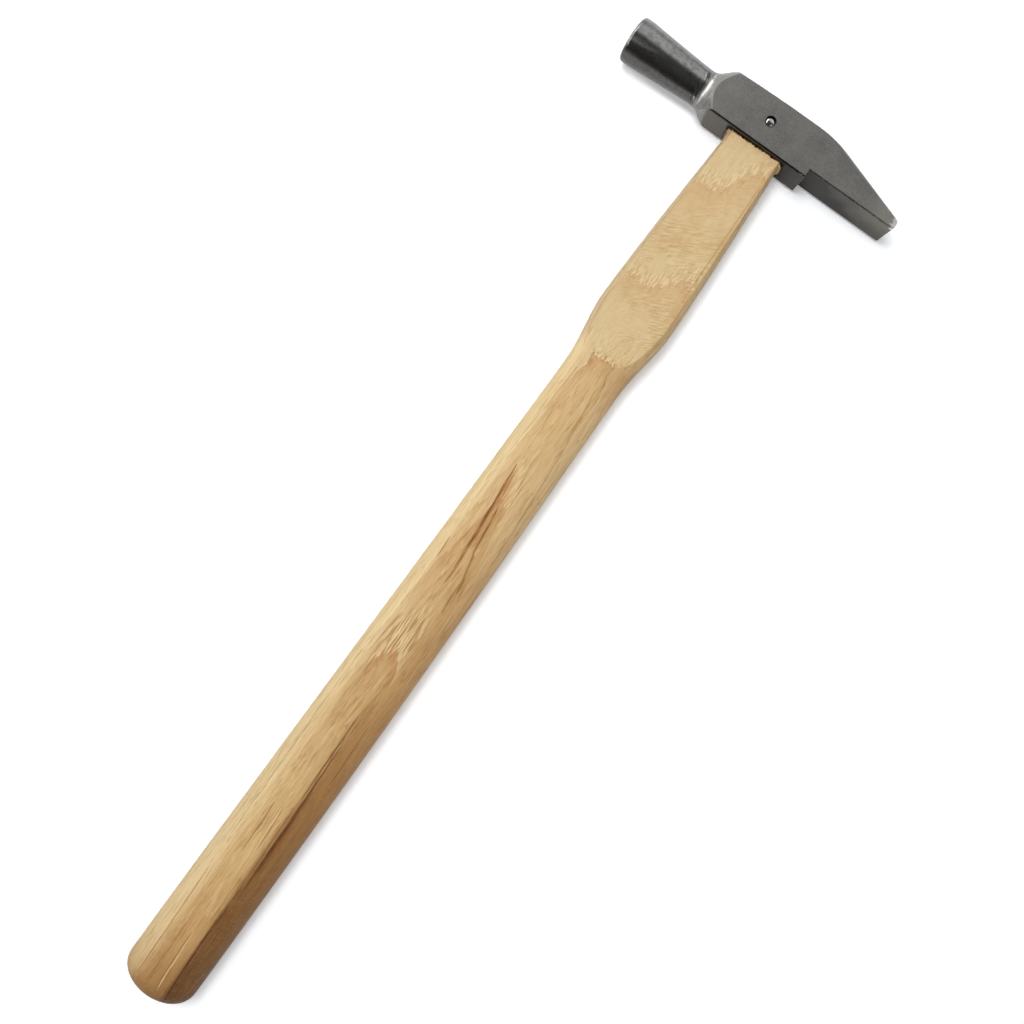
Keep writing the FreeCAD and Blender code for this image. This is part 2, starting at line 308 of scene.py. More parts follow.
    def curve(self, value: Socket, keys: Keys) -> Socket:
        """Turns a value into a level by a smooth curve through keys.

        Args:
            value: What is measured.
            keys: The (value, level) pairs that the curve runs through.

        Returns:
            The level.
        """
        start, end = min(key[0] for key in keys), max(key[0] for key in keys)
        low, high = min(key[1] for key in keys), max(key[1] for key in keys)
        made = self.node("ShaderNodeFloatCurve", {"Value": self.share(value, start, end)})
        spots = sorted(((spot - start) / (end - start), (level - low) / (high - low)) for spot, level in keys)
        line = made.mapping.curves[0]
        line.points[0].location, line.points[1].location = spots[0], spots[-1]
        for spot in spots[1:-1]:
            line.points.new(*spot)
        for point in line.points:
            point.handle_type = "AUTO_CLAMPED"
        made.mapping.update()
        return self.add(self.times(made.outputs[0], high - low), low)

    def relief(self, height: Value, depth_mm: float, strength: float = 1.0) -> Socket:
        """Returns the normal of a surface with fine relief, of a depth in millimetres."""
        feeds = {"Height": height, "Distance": depth_mm * MM, "Strength": strength}
        return self.node("ShaderNodeBump", feeds).outputs[0]


def new_group(
    name: str, takes: dict[str, object], gives: list[str]
) -> tuple[Wiring, bpy.types.NodeOutputs, bpy.types.NodeInputs]:
    """Starts a shader node group with named inputs and outputs.

    Args:
        name: The group's name.
        takes: Each input's name and default. None stands for a vector, anything else for a number.
        gives: Names of the outputs, all of them numbers.

    Returns:
        The group's wiring, the sockets that hold what it is given and the sockets that it gives.
    """
    tree = bpy.data.node_groups.new(name, "ShaderNodeTree")
    for key, value in takes.items():
        kind = "NodeSocketVector" if value is None else "NodeSocketFloat"
        made = tree.interface.new_socket(name=key, in_out="INPUT", socket_type=kind)
        if value is not None:
            made.default_value = value
    for key in gives:
        tree.interface.new_socket(name=key, in_out="OUTPUT", socket_type="NodeSocketFloat")
    wiring = Wiring(tree)
    return wiring, wiring.node("NodeGroupInput").outputs, wiring.node("NodeGroupOutput").inputs


def build_fibre_group() -> None:
    """Builds the group of fine lines along the wood's grain, which handle, wedge and torn fibres share."""
    w, given, gives = new_group("Fibre", {"Place": None, "Fineness": 1.0, "Waviness": 0.5}, ["Broad", "Fine"])
    x, y, z = w.split(given["Place"])
    sway = w.times(w.swing(given["Place"], (0.05, 0.03, 0.05)), given["Waviness"], FULL_SWING)
    across, deep = w.times(w.add(x, sway), given["Fineness"]), w.times(z, given["Fineness"])
    lines = w.join(across, y, deep)
    w.into(gives["Broad"], w.cloud(lines, (0.9, 0.03, 0.9), 3.0, 0.62))
    w.into(gives["Fine"], w.cloud(lines, (3.4, 0.19, 3.4), 2.0, 0.65))


def build_hair_group() -> None:
    """Builds the group of thin broken lines along the grain, where stretched noise passes its middle."""
    takes = {"Place": None, "Fineness": 1.0, "Cover": 0.5, "Thickness": 0.02}
    w, given, gives = new_group("Hair lines", takes, ["Mask"])
    x, y, z = w.split(given["Place"])
    across, deep = w.times(x, given["Fineness"]), w.times(z, given["Fineness"])
    gap = w.span(w.swing(w.join(across, w.times(y, 0.07), deep), EVEN, 2.0, 0.55))
    line = w.band(gap, given["Thickness"], w.times(given["Thickness"], 0.3))
    patch = w.cloud(given["Place"], (0.45, 0.085, 0.45), 1.0)
    shown = w.band(w.add(patch, given["Cover"]), 0.96, 1.04)
    w.into(gives["Mask"], w.times(line, shown))


def build_scratch_group() -> None:
    """Builds the group of straight fine scratches that sanding and grinding leave."""
    takes = {"Place": None, "Angle": 0.0, "Fineness": 2.0, "Length": 8.0, "Cover": 0.5}
    w, given, gives = new_group("Scratches", takes, ["Level"])
    turned = w.node("ShaderNodeVectorRotate", {"Vector": given["Place"], "Angle": given["Angle"]})
    x, y, z = w.split(turned.outputs[0])
    along, across = w.math("DIVIDE", x, given["Length"]), w.times(y, given["Fineness"])
    line = w.swing(w.join(along, across, w.times(z, 0.2)), EVEN, 2.0, 0.7)
    patch = w.cloud(given["Place"], (0.12, 0.12, 0.12), 2.0)
    shown = w.band(w.add(patch, given["Cover"]), 0.85, 1.15)
    w.into(gives["Level"], w.times(line, shown))


def build_pit_group() -> None:
    """Builds the group of scattered small pits, which the steel and the wood share."""
    w, given, gives = new_group("Pits", {"Place": None, "Per mm": 1.0, "Size": 0.2, "Cover": 0.4}, ["Mask"])
    scaled = w.scale(given["Place"], given["Per mm"])
    cell = w.node("ShaderNodeTexVoronoi", {"Vector": scaled, "Scale": 1.0})
    chance = w.split(cell.outputs["Color"])[0]
    chosen = w.math("LESS_THAN", chance, given["Cover"])
    size = w.times(given["Size"], w.add(0.5, chance))
    dot = w.band(cell.outputs["Distance"], size, w.times(size, 0.4))
    w.into(gives["Mask"], w.times(dot, chosen))


def build_streak_group() -> None:
    """Builds the group of one long mark in the wood's upper side, tapered at both ends, with a soft halo."""
    sizes = ("Shake", "Head end", "Butt end", "X at head end", "X at butt end", "Bow", "Width", "Raggedness")
    w, given, gives = new_group("Streak", {"Place": None} | dict.fromkeys(sizes, 0.0), ["Mask", "Halo"])
    x, y, z = w.split(given["Place"])
    share = w.share(y, given["Head end"], given["Butt end"])
    hump = w.times(share, w.less(1.0, share), 4.0)
    line = w.level(share, given["X at head end"], given["X at butt end"])
    line = w.add(line, w.times(hump, given["Bow"]))
    shake = w.times(given["Shake"], given["Raggedness"], FULL_SWING)
    gap = w.span(w.add(w.less(x, line), shake))
    reach = w.times(w.math("POWER", hump, 0.5), given["Width"])
    upper = w.band(z, -0.3, 1.2)
    for name, outer, inner in (("Mask", 0.62, 0.30), ("Halo", 2.0, 0.2)):
        shape = w.band(gap, w.times(reach, outer), w.times(reach, inner))
        w.into(gives[name], w.times(shape, upper))


def build_wear_group() -> None:
    """Builds the group that brings out a worn edge where a distance to it is given."""
    takes = {"Place": None, "Distance": 0.0, "Width": 0.3, "Raggedness": 0.3}
    w, given, gives = new_group("Edge wear", takes, ["Mask"])
    ragged = w.times(w.swing(given["Place"], (1.6, 1.6, 1.6), 4.0, 0.65), given["Raggedness"], FULL_SWING)
    gap = w.add(w.span(given["Distance"]), ragged)
    w.into(gives["Mask"], w.band(gap, given["Width"], w.times(given["Width"], 0.4)))


def build_ring_group() -> None:
    """Builds the group of growth rings: which ring a place lies in, and how far through it."""
    takes = {"Place": None, "Along": 0.0, "Rings per mm of depth": 0.5, "Ripple": 0.12, "Comb": 0.055}
    w, given, gives = new_group("Growth rings", takes, ["Through", "Count"])
    z = w.split(given["Place"])[2]
    ripple = w.times(w.swing(given["Place"], (0.09, 0.022, 0.09), 2.0), given["Ripple"], 2.0)
    comb = w.times(w.swing(given["Place"], (2.6, 0.16, 2.6), 2.0, 0.6), given["Comb"], FULL_SWING)
    depth = w.times(z, given["Rings per mm of depth"])
    count = w.add(given["Along"], depth, ripple, comb)
    w.into(gives["Through"], w.math("FRACT", count))
    w.into(gives["Count"], count)


def new_material(name: str) -> tuple[bpy.types.Material, Wiring, bpy.types.Node]:
    """Starts a material with one Principled shader.

    Args:
        name: The material's name.

    Returns:
        The material, its wiring and its shader node.
    """
    made = bpy.data.materials.new(name)
    made.use_nodes = True
    made.node_tree.nodes.clear()
    w = Wiring(made.node_tree)
    shader = w.node("ShaderNodeBsdfPrincipled")
    w.node("ShaderNodeOutputMaterial", {"Surface": shader.outputs[0]})
    return made, w, shader


@dataclass(frozen=True)
class WoodMark:
    """One streak, line or thread in the handle's upper side, in millimetres from the datum."""

    head_end: float
    butt_end: float
    x_at_head_end: float
    x_at_butt_end: float
    bow: float
    width: float
    raggedness: float
    stain: Stain
    strength: float
    halo: float = 0.0
    sunk: float = 0.0

    def shape(self) -> dict[str, float]:
        """Returns what the streak group needs for the mark's place and shape, by input."""
        names = ("head_end", "butt_end", "x_at_head_end", "x_at_butt_end", "bow", "width", "raggedness")
        return {name.capitalize(): getattr(self, name) for name in names}


@dataclass(frozen=True)
class HandleWood:
    """Bare sanded ring-porous wood, yellow before each ring's edge and pinkish after it, browner at the grip,
    with painted shade on its right side and painted light on its left.

    The zones are stretches over which something sets in, or inside which it shows, in millimetres from the
    datum. They lie along the handle, and across it where the name says so.
    """

    yellow: Colour = paint(217, 193, 148)
    pinkish: Colour = paint(211, 180, 134)
    pale: Colour = paint(236, 211, 161)
    brown: Colour = paint(188, 144, 90)
    ring_edge: Colour = paint(192, 128, 84)
    stroke_dark: Colour = paint(160, 108, 54)
    stroke_pale: Colour = paint(244, 220, 168)
    torn: Colour = paint(222, 168, 128)
    shade_black: Colour = paint(40, 30, 22)
    tan: Colour = (0.86, 0.76, 0.62, 1.0)
    grime: Colour = (0.53, 0.50, 0.465, 1.0)
    flush: Colour = (0.88, 0.76, 0.64, 1.0)
    halo: Colour = (0.80, 0.64, 0.47, 1.0)
    broad_shade: Colour = (0.80, 0.70, 0.56, 1.0)
    broad_light: Colour = (1.10, 1.11, 1.08, 1.0)
    fine_shade: Colour = (0.78, 0.69, 0.56, 1.0)
    fine_light: Colour = (1.12, 1.13, 1.11, 1.0)
    flat: Zone = (-70.5, -64.5)
    shaft: Zone = (-68.0, -75.0)
    rings_fade: Zone = (-172.0, -186.0)
    fibres: Zone = (-110.0, -175.0)
    weave: Zone = (-140.0, -185.0)
    threads: Zone = (-262.0, -252.0)
    shaded_right_strip: Zone = (-90.0, -60.0)
    grip: Zone = (-150.0, -245.0)
    grip_shaded_side: Zone = (-165.0, -262.0)
    darkest_shaded_side: Zone = (-230.0, -262.0)
    butt: Zone = (-252.0, -275.0)
    across_flanks: Zone = (3.4, 5.0)
    across_left: Zone = (-3.4, -6.8)
    across_right: Zone = (2.0, 5.5)
    across_shaded_right_edge: Zone = (6.2, 8.2)
    across_grip: Zone = (-7.5, -3.5)
    across_shaded_side: Zone = (1.6, 4.8)
    first_top: Zone = (-82.0, -78.0)
    faint_top: Zone = (-123.0, -107.0)
    last_top: Zone = (-171.0, -150.0)
    wide_top: Zone = (-166.0, -155.0)
    sanded_scoop: Zone = (-71.0, -51.0)
    sanded_band: Zone = (-46.0, -34.0)
    zone_ease: float = 3.0
    smear_at: float = -36.5
    smear_slant: float = 0.58
    grain_drift: float = 3.0
    rings_per_mm: float = 0.5
    shaft_ring: Zone = (1.97, 2.01)
    # Where the upper side's middle crosses the rings: place along the handle, ring number, surface height.
    crossings: tuple[Triple, ...] = (
        (10.5, -1.1, 3.7), (-22.3, 0.0, 4.09), (-51.8, 1.0, 4.54), (-66.0, 1.60, 4.75), (-70.5, 1.76, 5.25),
        (-73.6, 1.95, 6.1), (-75.6, 2.08, 6.4), (-79.2, 2.38, 6.5), (-85.0, 2.47, 6.5), (-94.0, 2.56, 6.52),
        (-103.0, 2.73, 6.58), (-112.0, 2.93, 6.65), (-119.0, 3.02, 6.7), (-133.0, 3.27, 6.78),
        (-143.0, 3.60, 6.85), (-155.0, 3.85, 6.92), (-165.5, 3.98, 6.98), (-167.5, 4.09, 7.0),
        (-171.0, 4.25, 7.02), (-194.0, 4.40, 7.12), (-218.0, 4.65, 7.2), (-250.0, 4.85, 7.3),
        (-276.0, 4.95, 7.3),
    )
    # How brown the shaft is along its left side, its middle and its right side, from nought to one: partly the
    # wood's colour, partly painted shade on the right side and painted light on the left.
    left_tone_and_light: Keys = (
        (-60.0, 0.0), (-140.0, 0.06), (-200.0, 0.10), (-252.0, 0.15), (-264.0, 0.30), (-272.0, 0.70),
        (-276.0, 0.90),
    )
    middle_tone: Keys = (
        (-72.0, 0.60), (-84.0, 0.54), (-100.0, 0.52), (-115.0, 0.56), (-128.0, 0.68), (-140.0, 0.68),
        (-150.0, 0.60), (-163.0, 0.52), (-168.0, 0.66), (-185.0, 0.61), (-218.0, 0.31), (-250.0, 0.60),
        (-266.0, 0.77), (-276.0, 1.0),
    )
    right_tone_and_shade: Keys = (
        (10.0, 0.25), (-60.0, 0.45), (-74.0, 0.66), (-88.0, 0.42), (-118.0, 0.44), (-140.0, 0.72),
        (-165.0, 0.84), (-218.0, 1.0), (-276.0, 1.0),
    )
    marks: tuple[WoodMark, ...] = (
        WoodMark(-108.0, -143.5, -2.35, 0.43, 0.3, 0.90, 0.10, Stain.RUST, 0.8, 0.30, 0.3),
        WoodMark(-114.0, -134.0, -1.95, -0.10, 0.1, 0.36, 0.06, Stain.DARK, 0.75, 0.0, 0.5),
        WoodMark(-120.0, -142.0, -0.75, 0.75, 0.0, 0.26, 0.08, Stain.RUST, 0.6, 0.0, 0.3),
        WoodMark(-108.8, -120.0, -1.6, -0.25, 0.0, 0.42, 0.10, Stain.RED, 0.65, 0.3),
        WoodMark(-119.4, -133.5, 0.2, 1.95, 0.1, 0.55, 0.10, Stain.BROWN, 0.8, 0.4, 0.3),
        WoodMark(-132.5, -144.0, 1.9, 4.5, 0.1, 0.5, 0.15, Stain.BROWN, 0.65, 0.5),
        WoodMark(-132.8, -139.4, -5.4, -5.1, 0.0, 0.34, 0.10, Stain.BROWN, 0.7, 0.2),
        WoodMark(-141.0, -150.0, 3.6, 4.1, 0.0, 0.45, 0.15, Stain.BROWN, 0.6, 0.3),
        WoodMark(-79.0, -97.0, 2.8, 5.0, 0.1, 0.26, 0.15, Stain.BROWN, 0.35, 0.1),
        WoodMark(-96.0, -138.0, 5.0, 7.8, 0.2, 0.28, 0.12, Stain.BROWN, 0.4, 0.1),
        WoodMark(-79.0, -93.0, -4.2, -4.7, 0.0, 0.35, 0.15, Stain.RED, 0.4, 0.2),
        WoodMark(-176.0, -268.0, 3.0, 4.0, 0.2, 2.9, 0.30, Stain.BROWN, 0.26, 0.26),
        WoodMark(-181.0, -209.0, 2.2, 2.7, 0.0, 0.38, 0.08, Stain.DARK, 0.65, 0.4, 0.5),
        WoodMark(-192.0, -237.0, 3.1, 4.1, 0.1, 0.50, 0.12, Stain.DARK, 0.62, 0.6, 0.5),
        WoodMark(-203.0, -240.0, 3.6, 4.4, -0.1, 0.34, 0.08, Stain.DARK, 0.55, 0.3, 0.4),
        WoodMark(-206.0, -232.0, 4.0, 4.5, 0.0, 0.45, 0.10, Stain.DARK, 0.5, 0.4),
        WoodMark(-212.0, -240.0, 2.5, 3.4, 0.0, 0.45, 0.10, Stain.BROWN, 0.5, 0.4),
        WoodMark(-236.0, -254.0, 3.5, 3.2, 0.0, 0.75, 0.30, Stain.DARK, 0.5, 0.6, 0.3),
        WoodMark(-249.0, -272.0, 3.2, 4.1, -0.15, 0.48, 0.05, Stain.DARK, 0.9, 0.5, 0.8),
        WoodMark(-185.0, -203.0, 6.0, 6.5, 0.0, 0.34, 0.06, Stain.BROWN, 0.6, 0.2),
        WoodMark(-210.0, -266.0, 6.8, 7.1, 0.0, 0.32, 0.06, Stain.BROWN, 0.5, 0.1),
        WoodMark(-213.5, -226.5, -0.1, 0.5, 0.1, 0.48, 0.08, Stain.PALE, 0.75, 0.0, 0.3),
        WoodMark(-213.5, -226.5, 0.35, 0.95, 0.1, 0.38, 0.08, Stain.BROWN, 0.5, 0.0, 0.3),
        WoodMark(-227.0, -248.0, 0.1, -0.5, 0.0, 0.26, 0.12, Stain.PALE, 0.45, 0.0, 0.2),
        WoodMark(-252.5, -269.5, 0.2, 1.0, -0.15, 0.46, 0.08, Stain.PALE, 0.75, 0.0, 0.3),
        WoodMark(-252.5, -269.5, -0.25, 0.55, -0.15, 0.38, 0.08, Stain.BROWN, 0.5, 0.0, 0.3),
        WoodMark(-235.0, -269.0, -6.9, -6.1, 0.0, 0.46, 0.08, Stain.PALE, 0.7, 0.0, 0.3),
        WoodMark(-236.0, -269.0, -6.45, -5.7, 0.0, 0.36, 0.08, Stain.BROWN, 0.6, 0.1, 0.3),
        WoodMark(-215.0, -228.0, -7.4, -7.2, 0.0, 0.32, 0.10, Stain.PALE, 0.6),
        WoodMark(-214.0, -227.0, -7.0, -6.85, 0.0, 0.30, 0.10, Stain.BROWN, 0.5),
        WoodMark(-213.5, -228.0, -2.4, -2.0, 0.1, 0.38, 0.10, Stain.BROWN, 0.6, 0.3, 0.3),
        WoodMark(-240.0, -268.0, -2.8, -2.6, 0.0, 0.30, 0.10, Stain.BROWN, 0.35, 0.1),
        WoodMark(-178.0, -218.0, -7.2, -6.8, 0.0, 0.32, 0.10, Stain.BROWN, 0.4, 0.1),
        WoodMark(-14.0, -50.0, 7.1, 7.9, 0.0, 0.26, 0.05, Stain.BROWN, 0.5),
        WoodMark(-79.0, -112.0, -4.3, -6.0, 0.0, 0.24, 0.12, Stain.BROWN, 0.3),
    )

    def rings(self, w: Wiring, place: Socket) -> bpy.types.Node:
        """Finds the place in the growth rings.

        Args:
            w: The material's wiring.
            place: Place in millimetres from the datum.

        Returns:
            The placed group of growth rings.
        """
        x, y, _ = w.split(place)
        keys = tuple((along, ring - height * self.rings_per_mm) for along, ring, height in self.crossings)
        slant = w.times(w.band(x, -3.0, 6.0), w.band(y, -85.0, -8.0, 0.0, 0.36))
        along = w.add(w.curve(y, keys), slant)
        return w.group("Growth rings", place, Along=along, Rings_per_mm_of_depth=self.rings_per_mm)

    def ground(self, w: Wiring, place: Socket, wander: Socket, rings: bpy.types.Node) -> Socket:
        """Lays down the wood's broad colours.

        Args:
            w: The material's wiring.
            place: Place in millimetres from the datum.
            wander: Distance across the handle, made uneven along it.
            rings: The placed group of growth rings.

        Returns:
            The colour.
        """
        x, y, z = w.split(place)
        through = rings.outputs["Through"]
        neck = w.blend(w.band(through, 0.66, 0.02), self.yellow, self.pinkish)
        tones = (self.left_tone_and_light, self.middle_tone, self.right_tone_and_shade)
        left, middle, right = (w.curve(y, keys) for keys in tones)
        tone = w.level(w.band(wander, *self.across_left), middle, left)
        tone = w.level(w.band(wander, *self.across_right), tone, right)
        change = w.add(w.band(through, 0.45, 0.0, 0.0, 0.16), w.band(through, 0.70, 0.97, 0.0, -0.16))
        fade = w.times(w.band(y, *self.rings_fade, 1.0, 0.15), w.band(w.span(x), 5.5, 2.5, 0.45, 1.0))
        tone = w.add(tone, w.times(change, fade))
        shaft = w.blend(w.node("ShaderNodeClamp", {0: tone}).outputs[0], self.pale, self.brown)
        flank = w.times(w.band(w.span(x), *self.across_flanks), w.band(y, *self.shaft))
        body = w.blend(w.most(w.band(rings.outputs["Count"], *self.shaft_ring), flank), neck, shaft)
        # Painted shade: a darker tan strip along the neck's right edge.
        edge = w.times(w.band(x, *self.across_shaded_right_edge), w.band(y, *self.shaded_right_strip))
        body = w.tint(w.times(edge, 0.6), body, self.tan)
        lean = w.add(y, w.times(x, -self.smear_slant), -self.smear_at)
        smear = w.times(w.band(w.span(lean), 7.0, 1.0), w.band(z, 3.0, 4.0))
        stripes = w.mask("Scratches", place, Angle=-0.52, Fineness=1.5, Length=6.0, Cover=1.0)
        smear = w.times(smear, w.band(stripes, -0.12, 0.10, 0.25, 1.0))
        return w.tint(w.times(smear, 0.62), body, self.flush)

    def handling(self, w: Wiring, place: Socket, wander: Socket, body: Socket) -> Socket:
        """Darkens the grip, partly for the hands that have held it and partly as painted shade on its right
        side and at the butt.

        Args:
            w: The material's wiring.
            place: Place in millimetres from the datum.
            wander: Distance across the handle, made uneven along it.
            body: The colour so far.

        Returns:
            The darkened colour.
        """
        x, y, _ = w.split(place)
        grip = w.times(w.band(wander, *self.across_grip), w.band(y, *self.grip))
        body = w.tint(w.times(grip, 0.75), body, self.tan)
        # Partly handling dirt, partly painted shade: the right side darkens, most towards the butt.
        side = w.times(w.band(wander, *self.across_shaded_side), w.band(y, *self.grip_shaded_side, 0.0, 1.0))
        body = w.tint(w.times(side, 0.95), body, self.grime)
        body = w.tint(w.times(side, w.band(y, *self.darkest_shaded_side), 0.35), body, self.grime)
        # Partly handling dirt, partly painted shade: the butt end darkens, most on its right.
        end = w.times(w.band(y, *self.butt), w.band(x, -9.0, 3.5, 0.5, 1.0))
        return w.tint(end, body, w.blend(0.55, self.tan, self.grime))

    def marked(self, w: Wiring, place: Socket, body: Socket) -> tuple[Socket, Socket]:
        """Draws the streaks, lines and threads.

        Args:
            w: The material's wiring.
            place: Place in millimetres from the datum.
            body: The colour so far.

        Returns:
            The colour with the marks in it, and how deep each spot is sunk.
        """
        shake = w.swing(place, (0.7, 0.22, 0.7), 3.0, 0.6)
        broken = w.band(w.cloud(place, (2.2, 0.20, 2.2), 2.0, 0.6), 0.34, 0.52, 0.45, 1.0)
        sunk: Value = 0.0
        for mark in self.marks:
            made = w.group("Streak", place, Shake=shake, **mark.shape())
            if mark.halo:
                body = w.tint(w.times(made.outputs["Halo"], mark.halo), body, self.halo)
            mask = w.times(made.outputs["Mask"], broken)
            body = w.blend(w.times(mask, mark.strength), body, paint(*mark.stain.value))
            if mark.sunk:
                sunk = w.add(sunk, w.times(mask, mark.sunk))
        return body, sunk

    def at_mouth(self, w: Wiring, place: Socket, body: Socket) -> Socket:
        """Colours the torn wood at the mouth of the eye, and paints shade on what lies inside and on the lip's
        left end.

        Args:
            w: The material's wiring.
            place: Place in millimetres from the datum.
            body: The colour so far.

        Returns:
            The colour.
        """
        x, y, z = w.split(place)
        blush = w.times(w.band(w.cloud(place, (1.5, 0.6, 1.5), 3.0, 0.6), 0.52, 0.62), w.band(y, -9.0, -7.2))
        body = w.blend(w.times(blush, 0.55), body, self.torn)
        # Painted shade: the wood inside the eye and the lip's left end are darkened to near black.
        inside = w.times(w.window(y, -6.62, 0.0, 0.12), w.band(z, 3.70, 3.62))
        shaded = w.times(w.band(x, -7.95, -8.25), w.band(y, -8.4, -7.3))
        return w.blend(w.most(inside, w.times(shaded, 0.85)), body, self.shade_black)

    def make(self) -> bpy.types.Material:
        """Returns the handle's material, built up from the broad colours to the marks."""
        made, w, shader = new_material("Handle wood")
        place = w.place()
        x, y, _ = w.split(place)
        flat = w.times(w.band(y, *self.flat), w.band(w.facing()[2], 0.93, 0.985))
        rings = self.rings(w, place)
        through = rings.outputs["Through"]
        wander = w.add(x, w.times(w.swing(place, (0.5, 0.02, 0.5), 3.0), self.grain_drift))
        body = self.handling(w, place, wander, self.ground(w, place, wander, rings))

        # The rings' sharp edges show on the flat and where the shaft's upper side runs out of a ring.
        seam = w.band(through, w.level(flat, 0.10, 0.07), 0.0)
        seam = w.times(seam, w.band(w.cloud(place, (0.8, 0.25, 0.8), 3.0), 0.42, 0.58, 0.15, 0.85))
        tops = w.most(w.band(y, *self.first_top), w.window(y, *self.last_top, self.zone_ease))
        tops = w.most(tops, w.times(w.window(y, *self.faint_top, self.zone_ease), 0.5))
        seam = w.times(seam, w.level(flat, 0.85, 0.5), w.level(tops, 0.25, 1.0))
        body = w.blend(seam, body, self.ring_edge)

        # Fibres run along the grain, most plainly on the grip.
        grain = w.times(w.band(y, *self.fibres, 0.80, 1.0), w.level(flat, 1.0, 0.20))
        grain = w.times(grain, w.band(x, -7.5, -2.0, 0.62, 1.0))
        fibre = w.group("Fibre", place, Fineness=1.0)
        broad, fine = fibre.outputs["Broad"], fibre.outputs["Fine"]
        for lines, start, end, strength, colour in (
            (broad, 0.46, 0.66, 0.42, self.broad_shade),
            (broad, 0.52, 0.36, 0.28, self.broad_light),
            (fine, 0.50, 0.66, 0.66, self.fine_shade),
            (fine, 0.50, 0.34, 0.44, self.fine_light),
        ):
            body = w.tint(w.times(w.band(lines, start, end), grain, strength), body, colour)
        hair = w.mask("Hair lines", place, Fineness=0.9, Cover=0.52, Thickness=0.034)
        body = w.blend(w.times(hair, grain, 0.45), body, self.stroke_dark)
        apart = w.stretch(place, (1.0, 1.0, 1.3))
        thread = w.mask("Hair lines", apart, Fineness=1.1, Cover=0.47, Thickness=0.03)
        thread = w.times(thread, grain, w.band(x, 5.5, 3.0, 0.05, 0.30), w.band(y, *self.threads))
        body = w.blend(thread, body, self.stroke_pale)
        warmth = w.band(w.cloud(place, (0.35, 0.035, 0.35), 3.0, 0.6), 0.50, 0.66)
        body = w.tint(w.times(warmth, w.level(flat, 0.30, 0.10)), body, self.flush)

        # Each ring's edge frays into a comb of dark and pale strokes.
        long, short = w.cloud(place, (3.6, 0.17, 3.6), 1.0, 0.5), w.cloud(place, (2.2, 0.40, 2.2), 2.0, 0.55)
        stroke = w.level(flat, long, short)
        reach = w.span(w.add(x, 0.8))
        comb = w.times(w.band(through, 0.76, 0.93), w.band(through, 1.0, 0.99))
        comb = w.times(comb, w.level(flat, w.band(reach, 5.6, 3.6, 0.05, 1.0), 1.0))
        wide = w.times(w.window(y, *self.wide_top, self.zone_ease), w.band(reach, 6.6, 3.4))
        wide = w.times(wide, w.band(through, 0.20, 0.40), 0.9)
        comb = w.most(w.times(comb, tops), wide)
        dark_strokes = w.times(w.band(stroke, 0.51, 0.57), comb, w.level(flat, 0.66, 0.26))
        pale_strokes = w.times(w.band(stroke, 0.49, 0.43), comb, w.level(flat, 0.42, 0.36))
        body = w.blend(dark_strokes, body, self.stroke_dark)
        body = w.blend(pale_strokes, body, self.stroke_pale)

        # Fine pale lines lie across the grip.
        weave = w.band(w.span(w.swing(place, (0.10, 2.1, 0.10), 2.0, 0.6)), 0.035, 0.005)
        weave = w.times(weave, w.band(y, *self.weave))
        body = w.blend(w.times(weave, w.band(broad, 0.42, 0.60), 0.10), body, self.stroke_pale)

        # The sanding's scratches and the open pores show on the flat.
        sanding = w.mask("Scratches", place, Angle=-0.50, Fineness=3.2, Length=2.8, Cover=0.52)
        scoop = w.times(w.window(y, *self.sanded_scoop, self.zone_ease), w.band(x, -4.0, 4.0, 0.3, 1.0))
        zones = w.most(scoop, w.window(y, *self.sanded_band, self.zone_ease))
        sanding = w.times(sanding, w.level(flat, 0.1, 1.0))
        sanding = w.times(sanding, w.add(0.5, w.times(zones, 0.85)))
        mottle = w.times(w.band(w.cloud(place, (0.55, 0.35, 0.55), 4.0, 0.65), 0.46, 0.62), flat)
        body = w.tint(w.times(mottle, 0.26), body, self.flush)
        body = w.blend(w.band(sanding, 0.0, 0.15, 0.0, 0.62), body, w.blend(0.5, body, self.stroke_dark))
        body = w.blend(w.band(sanding, 0.0, -0.15, 0.0, 0.56), body, w.blend(0.6, body, self.stroke_pale))
        pores = w.mask("Pits", w.stretch(place, (1.0, 0.5, 1.0)), Per_mm=0.9, Size=0.16, Cover=0.10)
        body = w.blend(w.times(pores, 0.6), body, self.stroke_dark)

        body, sunk = self.marked(w, place, body)
        body = self.at_mouth(w, place, body)
        height = w.weigh(
            (broad, 0.5), (fine, 0.7), (dark_strokes, -0.6), (hair, -0.15),
            (sanding, 1.4), (sunk, -0.4), (pores, -0.6), (weave, 0.15),
        )
        w.feed(shader, Base_Color=body, Roughness=w.level(fine, 0.64, 0.50), Specular_IOR_Level=0.3)
        w.feed(shader, Normal=w.relief(height, 0.13, 0.9))
        return made


@dataclass(frozen=True)
class WedgeWood:
    """Split hardwood of the wedge, end grain outwards."""

    light: Colour = paint(196, 160, 112)
    dark: Colour = paint(140, 98, 60)

    def make(self) -> bpy.types.Material:
        """Returns the wedge's material."""
        made, w, shader = new_material("Wedge wood")
        place = w.place()
        fibre = w.group("Fibre", place, Fineness=1.4).outputs["Fine"]
        pores = w.mask("Pits", place, Per_mm=3.0, Size=0.3, Cover=0.5)
        body = w.blend(w.band(fibre, 0.35, 0.65), self.light, self.dark)
        body = w.blend(w.times(pores, 0.5), body, self.dark)
        height = w.add(fibre, w.times(pores, -0.6))
        w.feed(shader, Base_Color=body, Roughness=0.65, Normal=w.relief(height, 0.1))
        return made


